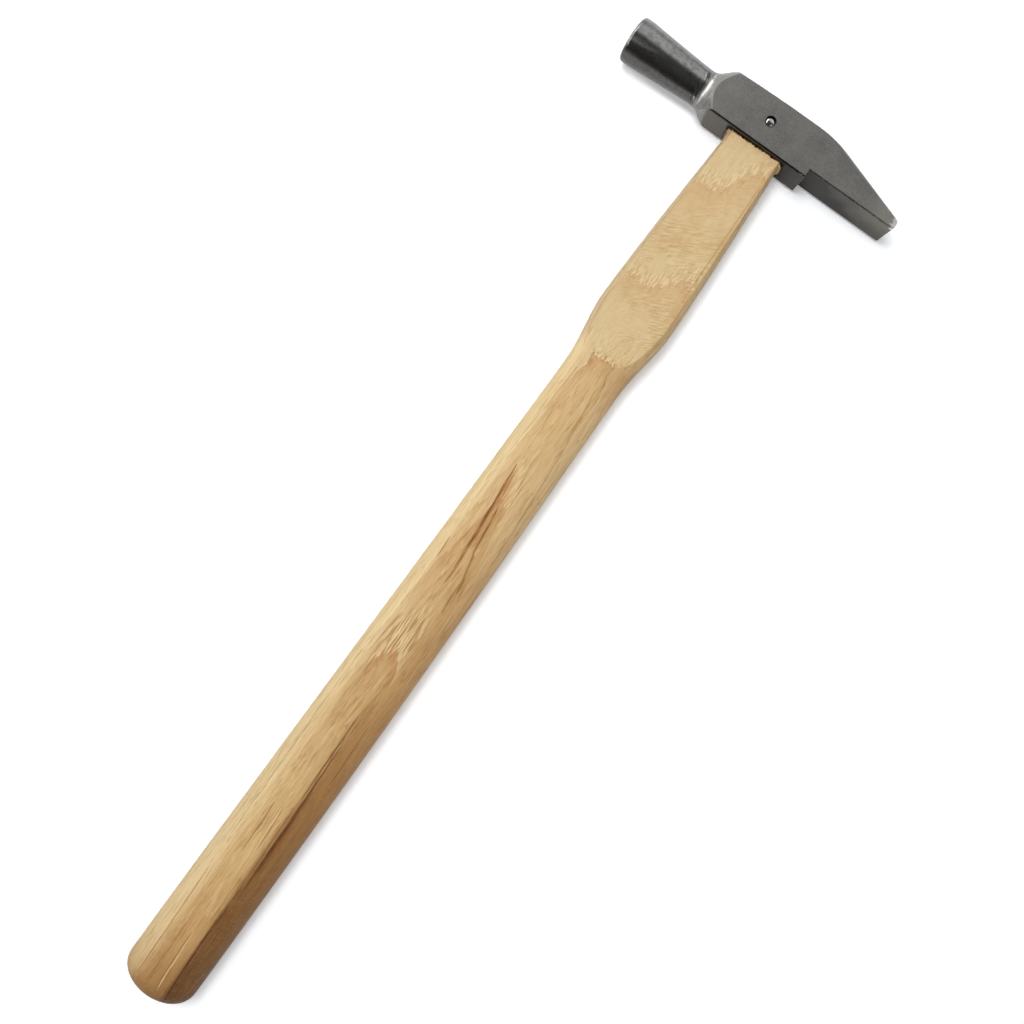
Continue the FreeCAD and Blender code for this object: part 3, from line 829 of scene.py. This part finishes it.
@dataclass(frozen=True)
class HeadSteel:
    """Forged steel: ground cheeks, undersides darkened with painted shade, a polished poll, a bright cone with
    a painted highlight at its foot and a worn peen edge.
    """

    cheek: Colour = (0.264, 0.259, 0.245, 1.0)
    underside: Colour = (0.158, 0.146, 0.128, 1.0)
    peen_low: Colour = (0.245, 0.228, 0.192, 1.0)
    poll: Colour = (0.315, 0.313, 0.304, 1.0)
    poll_under_shade: Colour = (0.060, 0.052, 0.043, 1.0)
    cone: Colour = (0.37, 0.362, 0.345, 1.0)
    worn: Colour = (0.55, 0.54, 0.51, 1.0)
    rubbed: Colour = (0.46, 0.44, 0.37, 1.0)
    bright: Colour = (0.80, 0.79, 0.76, 1.0)
    pit: Colour = (0.055, 0.052, 0.048, 1.0)
    black: Colour = (0.010, 0.009, 0.008, 1.0)
    turning_axis_drop: float = 0.62
    cone_reach: float = -14.4
    cone_radius: float = 8.445
    cone_slope: float = 0.8391
    half_cheek: float = 6.25
    peen_slope: float = 0.3016
    peen_crest: float = 10.55
    peen_end: float = 40.7
    poll_start: Zone = (-19.0, -20.0)
    peen_start: Zone = (14.0, 15.4)
    mouth_half: Zone = (9.2, 8.5)
    root: Zone = (-21.0, -18.7)
    fillet_highlight: Zone = (-18.85, -18.35)

    def make(self) -> bpy.types.Material:
        """Returns the head's material, with each surface finished by its place and the way that it faces."""
        made, w, shader = new_material("Head steel")
        place = w.place()
        x, y, z = w.split(place)
        side, along, up = w.facing()
        turned = w.band(x, *self.poll_start)
        cone = w.times(w.band(side, -0.30, -0.48), w.window(x, -21.3, -9.5, 0.3))
        below = w.times(w.band(along, -0.45, -0.75), w.band(x, -16.0, -15.0))
        peen = w.band(x, *self.peen_start)
        flat = w.band(up, 0.9, 0.97)

        # Blotches, grain, scratches and pits lie on all of the ground steel.
        cloud = w.cloud(place, (0.16, 0.16, 0.16), 4.0, 0.6)
        grain = w.cloud(place, (2.2, 2.2, 2.2), 3.0, 0.65)
        grind = w.mask("Scratches", place, Angle=0.25, Fineness=4.0, Length=2.5, Cover=0.6)
        pits = w.mask("Pits", place, Per_mm=1.1, Size=0.14, Cover=0.22)
        specks = w.mask("Pits", w.stretch(place, (1.0, 1.0, 1.3)), Per_mm=1.7, Size=0.12, Cover=0.14)
        blotch = w.blend(0.6, self.cheek, self.pit)
        colour = w.coat(
            self.cheek,
            (w.band(cloud, 0.38, 0.66, 0.0, 0.30), blotch),
            (w.band(grain, 0.45, 0.70, 0.0, 0.28), self.pit),
            (w.times(pits, 0.45), self.pit),
            (w.times(specks, 0.34), self.worn),
            (w.band(grind, 0.05, 0.20, 0.0, 0.15), self.worn),
            # painted light: the cheek lightens towards the poll end
            (w.band(x, -5.0, -15.0, 0.0, 0.13), self.worn),
        )

        # Painted shade: the undersides are darkened like the shadowed paper that they mirror, more towards the
        # peen and the lower edge, and the peen's lightens towards its end.
        under = w.blend(w.band(x, -14.0, 13.0), self.underside, w.blend(0.75, self.underside, self.pit))
        under = w.blend(w.band(z, -4.6, -6.2, 0.0, 0.6), under, self.pit)
        shade = w.add(w.band(x, 42.0, 15.0, 0.20, 0.97), w.band(z, 5.5, -5.5, 0.0, 0.36))
        shade = w.add(shade, w.band(cloud, 0.4, 0.6, -0.06, 0.10))
        peen_under_shade = w.blend(w.node("ShaderNodeClamp", {0: shade}).outputs[0], self.peen_low, self.pit)
        colour = w.blend(below, colour, w.blend(peen, under, peen_under_shade))

        # Painted shade: dark lines run along the eased lower edges, and black lies round the mouth of the eye.
        ragged = w.times(w.swing(place, (0.8, 0.8, 1.6), 3.0, 0.65), 1.2)
        eased = w.times(w.band(along, -0.12, -0.40), w.band(along, -1.01, -0.99), w.band(z, 5.2, 5.7))
        line = w.times(below, w.less(1.0, peen), w.band(w.add(z, w.times(ragged, 0.4)), 5.25, 5.6))
        worn_thin = w.band(w.cloud(place, (0.7, 0.7, 0.7), 3.0, 0.65), 0.40, 0.60, 0.12, 0.72)
        colour = w.blend(w.times(w.most(eased, line), w.level(peen, 0.9, worn_thin)), colour, self.black)
        mouth = w.times(below, w.band(w.span(w.add(x, ragged)), *self.mouth_half))
        mouth = w.times(mouth, w.band(w.add(z, ragged), 5.2, 4.6), w.band(z, -5.0, -4.0))
        colour = w.blend(mouth, colour, self.black)
        # Painted glints: bright specks along the eased edge before the peen.
        glint = w.band(w.cloud(place, (0.9, 0.9, 0.9), 2.0, 0.7), 0.60, 0.66)
        glint = w.times(eased, glint, w.window(x, 10.0, 14.2, 1.5))
        colour = w.blend(w.times(glint, 0.8), colour, self.worn)

        # The poll is turned and smudged, with painted shade darkening it underneath, and chatter marks at its
        # root.
        lathe = w.cloud(place, (6.0, 0.15, 0.15), 3.0, 0.7)
        smudge = w.cloud(place, (0.6, 1.1, 1.1), 4.0, 0.7)
        chatter = w.cloud(w.join(w.add(x, w.times(y, 0.35)), y, z), (2.6, 0.32, 0.32), 3.0, 0.72)
        root = w.times(w.window(x, *self.root, 0.4), w.window(y, -5.8, 2.4, 1.0), w.band(up, 0.1, 0.4))
        poll = w.coat(
            self.poll,
            (w.band(smudge, 0.42, 0.66, 0.0, 0.42), self.pit),
            (w.band(lathe, 0.45, 0.65, 0.0, 0.20), self.pit),
            (w.times(specks, 0.5), self.worn),
            (w.band(along, -0.35, -0.75, 0.0, 0.72), self.poll_under_shade),
            (w.times(w.band(chatter, 0.52, 0.58), root, 0.85), self.black),
            (w.times(w.band(chatter, 0.44, 0.39), root, 0.55), self.bright),
        )
        colour = w.blend(turned, colour, poll)

        # The cone is turned bright, with painted shade on its lower side, and the fillet at its foot gets a
        # painted highlight.
        arcs = w.cloud(place, (2.2, 0.5, 0.5), 3.0, 0.7)
        bright = w.blend(w.band(arcs, 0.42, 0.62, 0.0, 0.47), self.cone, self.underside)
        bright = w.blend(w.band(y, -3.2, -5.6, 0.0, 0.46), bright, self.pit)
        colour = w.blend(cone, colour, bright)
        fillet_highlight = w.times(w.window(x, *self.fillet_highlight, 0.22), w.window(y, -5.4, 3.4, 1.2), w.band(up, 0.2, 0.5))
        fillet_highlight = w.times(fillet_highlight, w.band(chatter, 0.60, 0.50))
        colour = w.blend(w.times(fillet_highlight, 0.85), colour, self.bright)

        # Edges are worn bright where the cone cuts the cheek, along the peen's crest and at the peen's end.
        radius = w.math("POWER", w.add(y, self.turning_axis_drop), 2.0)
        radius = w.math("SQRT", w.add(radius, self.half_cheek**2))
        cone_gap = w.add(self.cone_radius, w.times(w.add(x, -self.cone_reach), self.cone_slope))
        edge = w.mask("Edge wear", place, Distance=w.less(cone_gap, radius), Width=0.40, Raggedness=0.06)
        colour = w.blend(w.times(edge, flat, w.band(x, -9.0, -11.0), 0.9), colour, self.worn)
        rubbed = w.times(w.band(x, 31.0, 39.0), w.band(up, 0.5, 0.9), w.band(grain, 0.35, 0.60, 0.35, 1.0))
        colour = w.blend(w.times(rubbed, 0.6), colour, self.rubbed)
        chips = w.mask("Edge wear", place, Distance=w.less(x, self.peen_end), Width=1.5, Raggedness=0.75)
        chips = w.times(chips, w.band(z, 4.4, 5.4), w.band(y, 0.4, -1.4, 0.3, 1.0))
        colour = w.blend(w.times(chips, 0.9), colour, self.bright)
        nicks = w.times(eased, peen, w.band(w.cloud(place, (1.1, 1.1, 1.1), 3.0, 0.7), 0.58, 0.64))
        colour = w.blend(w.times(nicks, 0.18), colour, self.worn)
        slope = w.less(w.add(y, w.times(x, self.peen_slope)), self.peen_crest)
        crest = w.mask("Edge wear", place, Distance=slope, Width=0.30, Raggedness=0.08)
        colour = w.blend(w.times(crest, flat, w.band(x, 17.0, 22.0), 0.45), colour, self.worn)

        rough = w.level(turned, w.level(cloud, 0.40, 0.52), w.level(smudge, 0.20, 0.32))
        rough = w.level(cone, rough, 0.32)
        rough = w.level(w.most(below, eased), rough, 0.55)
        height = w.weigh(
            (grind, 0.5), (grain, 0.5), (pits, -0.7), (specks, 0.3),
            (w.times(lathe, turned), 0.3), (w.times(smudge, turned), 0.6), (w.times(arcs, cone), 0.8),
        )
        w.feed(shader, Base_Color=colour, Metallic=1.0, Roughness=rough, Normal=w.relief(height, 0.035, 0.8))
        return made


@dataclass(frozen=True)
class PinSteel:
    """Polished steel of the cross pin, smeared dark in places."""

    bright: Colour = (0.46, 0.46, 0.46, 1.0)
    grime: Colour = (0.03, 0.028, 0.026, 1.0)

    def make(self) -> bpy.types.Material:
        """Returns the pin's material."""
        made, w, shader = new_material("Pin steel")
        place = w.place()
        smear = w.cloud(place, (1.2, 1.2, 1.2), 3.0, 0.6)
        scratch = w.mask("Scratches", place, Angle=0.7, Fineness=9.0, Length=1.5, Cover=0.6)
        colour = w.blend(w.band(smear, 0.4, 0.75, 0.0, 0.5), self.bright, self.grime)
        w.feed(shader, Base_Color=colour, Metallic=1.0, Roughness=w.level(smear, 0.10, 0.24))
        w.feed(shader, Normal=w.relief(scratch, 0.01, 0.5))
        return made


def set_material(piece: bpy.types.Object, material: bpy.types.Material) -> None:
    """Gives a piece one material in place of those that it came with."""
    if piece.material_slots:
        for held in piece.material_slots:
            held.material = material
    else:
        piece.data.materials.append(material)


def new_piece(
    bm: bmesh.types.BMesh, name: str, material: bpy.types.Material, crease: float
) -> bpy.types.Object:
    """Turns a bmesh into a finished piece that rides with the hammer.

    Args:
        bm: The shape, in metres, in the shared frame. It is freed.
        name: The piece's name.
        material: Its material.
        crease: Edges that turn by more than this angle stay sharp, in radians.

    Returns:
        The piece.
    """
    bmesh.ops.recalc_face_normals(bm, faces=bm.faces)
    for face in bm.faces:
        face.smooth = True
    for edge in bm.edges:
        edge.smooth = len(edge.link_faces) == 2 and edge.calc_face_angle() < crease
    mesh = bpy.data.meshes.new(name)
    bm.to_mesh(mesh)
    bm.free()
    piece = bpy.data.objects.new(name, mesh)
    bpy.context.scene.collection.objects.link(piece)
    piece.data.materials.append(material)
    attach(piece, "root")
    LOG.info("%s: %d faces", name, len(mesh.polygons))
    return piece


@dataclass
class Head:
    """The steel head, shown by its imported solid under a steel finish."""

    finish: HeadSteel = field(default_factory=HeadSteel)

    def build(self) -> None:
        """Dresses the head."""
        set_material(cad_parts[Piece.HEAD.value], self.finish.make())
        LOG.info("head: finished")


@dataclass
class Handle:
    """The wooden handle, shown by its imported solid, with crushed and torn wood round the mouth of the eye."""

    mouth: float = -6.3
    lip_start: float = -8.6
    lip_end: float = -6.5
    lip_half_width: float = 9.0
    lip_half_depth: float = 4.2
    lip_swell: float = 0.09
    cut: float = 0.24
    merge: float = 0.001
    lip_crease: float = 50.0
    seed: int = 5
    fibres: int = 120
    fibre_tip: float = 0.015
    fibre_sides: int = 5
    fibre_crease: float = 60.0
    finish: HandleWood = field(default_factory=HandleWood)

    def build(self) -> None:
        """Dresses the handle and adds the torn wood at its neck."""
        wood = self.finish.make()
        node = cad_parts[Piece.HANDLE.value]
        set_material(node, wood)
        LOG.info("handle: finished")
        self.crushed_lip(wood)
        self.torn_fibres(wood)

    def crushed_lip(self, wood: bpy.types.Material) -> bpy.types.Object:
        """Builds the ragged collar of wood that the eye's edge has crushed outwards.

        Args:
            wood: The handle's material.

        Returns:
            The collar.
        """
        bm = bmesh.new()
        bm.from_mesh(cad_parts[Piece.HANDLE.value].data)
        bmesh.ops.remove_doubles(bm, verts=bm.verts, dist=self.merge * MM)
        for level, way in ((self.lip_start, -1), (self.lip_end, 1)):
            parts = bm.verts[:] + bm.edges[:] + bm.faces[:]
            cut = {"plane_co": at(0, level, 0), "plane_no": (0, way, 0), "clear_outer": True}
            bmesh.ops.bisect_plane(bm, geom=parts, **cut)
            rim = [edge for edge in bm.edges if edge.is_boundary]
            bmesh.ops.holes_fill(bm, edges=rim)
        width, depth = self.lip_half_width, self.lip_half_depth
        reaches = ((-width, width), (self.lip_start, self.lip_end), (-depth, depth))
        for axis, (start, end) in enumerate(reaches):
            steps = round((end - start) / self.cut)
            for step in range(1, steps):
                spot, way = [0.0, 0.0, 0.0], [0, 0, 0]
                spot[axis] = start + (end - start) * step / steps
                way[axis] = 1
                parts = bm.verts[:] + bm.edges[:] + bm.faces[:]
                bmesh.ops.bisect_plane(bm, geom=parts, plane_co=at(*spot), plane_no=way)
        bm.normal_update()
        for vert in bm.verts:
            place = (vert.co - DATUM) / MM
            share = min((place.y - self.lip_start) / (self.mouth - self.lip_start), 1.0)
            right = min(max(place.x / 8.0, -1.0), 1.0)
            swell = self.lip_swell * (share**2 * (1.2 + 1.3 * right) - 0.35)
            rough = noise.noise(Vector((place.x * 1.3, place.y * 0.5, place.z * 1.3))) * 0.24
            rough += noise.noise(Vector((place.x * 3.4, place.y * 0.9, place.z * 3.4 + 9))) * 0.16
            vert.co += vert.normal * (swell + rough * max(share, 0.0) ** 1.5) * MM
            if place.y > self.mouth - 1.0 and place.z > 3.2:
                torn = 0.10 + 0.35 * right + 0.5 * noise.noise(Vector((place.x * 1.1, 3.0, 0.0)))
                torn += 0.35 * noise.noise(Vector((place.x * 3.1, 7.0, place.z)))
                vert.co.y += torn * (place.y - self.mouth + 1.0) * MM
        return new_piece(bm, "neck_crushed_lip", wood, math.radians(self.lip_crease))

    def torn_fibres(self, wood: bpy.types.Material) -> bpy.types.Object:
        """Builds the short torn fibres that stand round the mouth of the eye.

        Args:
            wood: The handle's material.

        Returns:
            All the fibres as one piece.
        """
        draw = random.Random(self.seed)
        bm = bmesh.new()
        for _ in range(self.fibres):
            x = draw.uniform(-8.6, 8.7)
            z = 3.72 + draw.uniform(-0.25, 0.1) if abs(x) < 8.1 else draw.uniform(-3.0, 3.6)
            length = draw.uniform(0.4, 1.3)
            radius = draw.uniform(0.05, 0.13) * MM
            sizes = {"radius1": radius, "radius2": self.fibre_tip * MM, "depth": length * MM}
            made = bmesh.ops.create_cone(bm, cap_ends=True, segments=self.fibre_sides, **sizes)
            tilt = Matrix.Rotation(math.radians(draw.uniform(-50, 50)), 4, "Z")
            lift = Matrix.Rotation(math.radians(-90 + draw.uniform(5, 65)), 4, "X")
            spot = at(x, self.mouth - 0.45 + draw.uniform(-0.2, 0.2), z)
            bmesh.ops.transform(bm, matrix=Matrix.Translation(spot) @ tilt @ lift, verts=made["verts"])
        return new_piece(bm, "neck_torn_fibres", wood, math.radians(self.fibre_crease))


@dataclass
class Fixings:
    """The wedge in the tenon and the pin through the cheeks."""

    pin: PinSteel = field(default_factory=PinSteel)
    wedge: WedgeWood = field(default_factory=WedgeWood)

    def build(self) -> None:
        """Dresses the pin and the wedge."""
        fixings = ((Piece.PIN, Slot.PIN_STEEL, self.pin), (Piece.WEDGE, Slot.WEDGE_WOOD, self.wedge))
        for piece, slot, finish in fixings:
            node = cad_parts[piece.value]
            set_material(node, finish.make())
            LOG.info("%s: finished", piece.value)


@dataclass(frozen=True)
class Lamp:
    """A soft lamp aimed at the hammer, in metres and watts, that lights the wood or shines in the steel."""

    name: str
    place: Triple
    length: float
    height: float
    power: float
    in_steel: bool

    def build(self) -> None:
        """Hangs the lamp."""
        light = bpy.data.lights.new(self.name, "AREA")
        light.shape = "RECTANGLE"
        light.size = self.length
        light.size_y = self.height
        light.energy = self.power
        lamp = bpy.data.objects.new(self.name, light)
        lamp.location = self.place
        lamp.rotation_euler = (-Vector(self.place)).to_track_quat("-Z", "Y").to_euler()
        lamp.visible_camera = False
        lamp.visible_glossy = self.in_steel
        lamp.visible_diffuse = not self.in_steel
        bpy.context.scene.collection.objects.link(lamp)


@dataclass
class Studio:
    """Camera, white paper floor, lamps and surroundings."""

    lens: float = 38.16
    sensor: float = 36.0
    nearest: float = 0.01
    camera_place: Triple = (3.8, -118.8, 281.7)
    camera_turn: float = 35.56
    floor_size: float = 3.0
    paper: Colour = (0.92, 0.94, 0.97, 1.0)
    paper_lift: float = 0.24
    far_lift: float = 0.64
    far: Zone = (0.45, 1.2)
    poll_painted_light: float = 0.65
    under_poll: Zone = (-46.0, -18.0)
    mirrored_share: float = 0.1
    dark_side: float = 0.08
    sky: float = 0.40
    lamps: tuple[Lamp, ...] = (
        Lamp("Key lamp", (-0.15, 0.11, 0.68), 0.22, 0.22, 3.05, False),
        Lamp("Rim lamp", (-0.58, 0.02, 0.40), 1.50, 0.14, 3.6, True),
        Lamp("Far lamp", (0.42, -0.10, 0.40), 0.22, 0.22, 0.25, True),
    )

    def build(self) -> None:
        """Sets up everything round the hammer."""
        self.camera()
        self.floor()
        self.surroundings()
        for lamp in self.lamps:
            lamp.build()
        settings = bpy.context.scene.view_settings
        settings.view_transform = "Standard"
        LOG.info("studio: ready")

    def camera(self) -> None:
        """Hangs the camera straight above the hammer, turned as in the photograph."""
        data = bpy.data.cameras.new("Camera")
        data.lens = self.lens
        data.sensor_width = self.sensor
        data.clip_start = self.nearest
        made = bpy.data.objects.new("Camera", data)
        made.location = at(*self.camera_place)
        made.rotation_euler = (0.0, 0.0, math.radians(self.camera_turn))
        bpy.context.scene.collection.objects.link(made)
        bpy.context.scene.camera = made

    def floor(self) -> None:
        """Lays the white paper, which keeps the hammer's shadow, with painted light that makes it lighter
        beside the poll.
        """
        bm = bmesh.new()
        bmesh.ops.create_grid(bm, x_segments=1, y_segments=1, size=self.floor_size / 2)
        mesh = bpy.data.meshes.new("floor")
        bm.to_mesh(mesh)
        bm.free()
        piece = bpy.data.objects.new("floor", mesh)
        bpy.context.scene.collection.objects.link(piece)
        paper, w, shader = new_material("Paper")
        path = w.node("ShaderNodeLightPath").outputs
        seen = w.most(path["Is Camera Ray"], w.times(path["Is Glossy Ray"], self.mirrored_share))
        spot = w.node("ShaderNodeTexCoord").outputs["Object"]
        far = w.node("ShaderNodeVectorMath", {0: spot}, operation="LENGTH").outputs["Value"]
        near = self.paper_lift / self.far_lift
        x, y, _ = w.split(w.place())
        # Painted light: the paper glows brighter under the poll, so that the poll's shadow there shows fainter.
        under_poll = w.times(w.window(x, *self.under_poll, 2.5), w.band(y, -4.0, -5.9, 0.0, self.poll_painted_light))
        lift = w.blend(w.most(w.band(far, *self.far), under_poll), (near, near, near, 1.0), WHITE)
        w.feed(shader, Base_Color=self.paper, Roughness=1.0, Specular_IOR_Level=0.0)
        w.feed(shader, Emission_Color=lift, Emission_Strength=w.times(seen, self.far_lift))
        mesh.materials.append(paper)

    def surroundings(self) -> None:
        """Lights the room evenly, with a dark side behind the viewer for the steel to mirror."""
        world = bpy.data.worlds.new("Room")
        bpy.context.scene.world = world
        world.use_nodes = True
        world.node_tree.nodes.clear()
        w = Wiring(world.node_tree)
        path = w.node("ShaderNodeLightPath").outputs
        x, y, z = w.split(w.node("ShaderNodeTexCoord").outputs["Generated"])
        bright = w.times(w.band(y, 0.20, 0.46), w.band(z, 0.0, 0.55, 0.45, 1.0))
        low = w.most(w.band(z, 0.28, 0.05, 0.0, 0.30), w.band(x, -0.60, -0.92, 0.0, 0.85))
        mirrored = w.level(w.most(bright, low), self.dark_side, 1.0)
        strength = w.level(path["Is Glossy Ray"], self.sky, mirrored)
        strength = w.level(path["Is Camera Ray"], strength, 1.0)
        back = w.node("ShaderNodeBackground", {"Color": WHITE, "Strength": strength})
        w.node("ShaderNodeOutputWorld", {"Surface": back.outputs[0]})


def main() -> None:
    """Builds the hammer piece by piece and reports each."""
    logging.basicConfig(level=logging.INFO, format="%(message)s")
    marks = (build_hair_group, build_scratch_group, build_pit_group, build_streak_group, build_wear_group)
    for build_group in (build_fibre_group, *marks, build_ring_group):
        build_group()
    for part in (Studio(), Head(), Handle(), Fixings()):
        part.build()


if __name__ == "__main__":
    main()
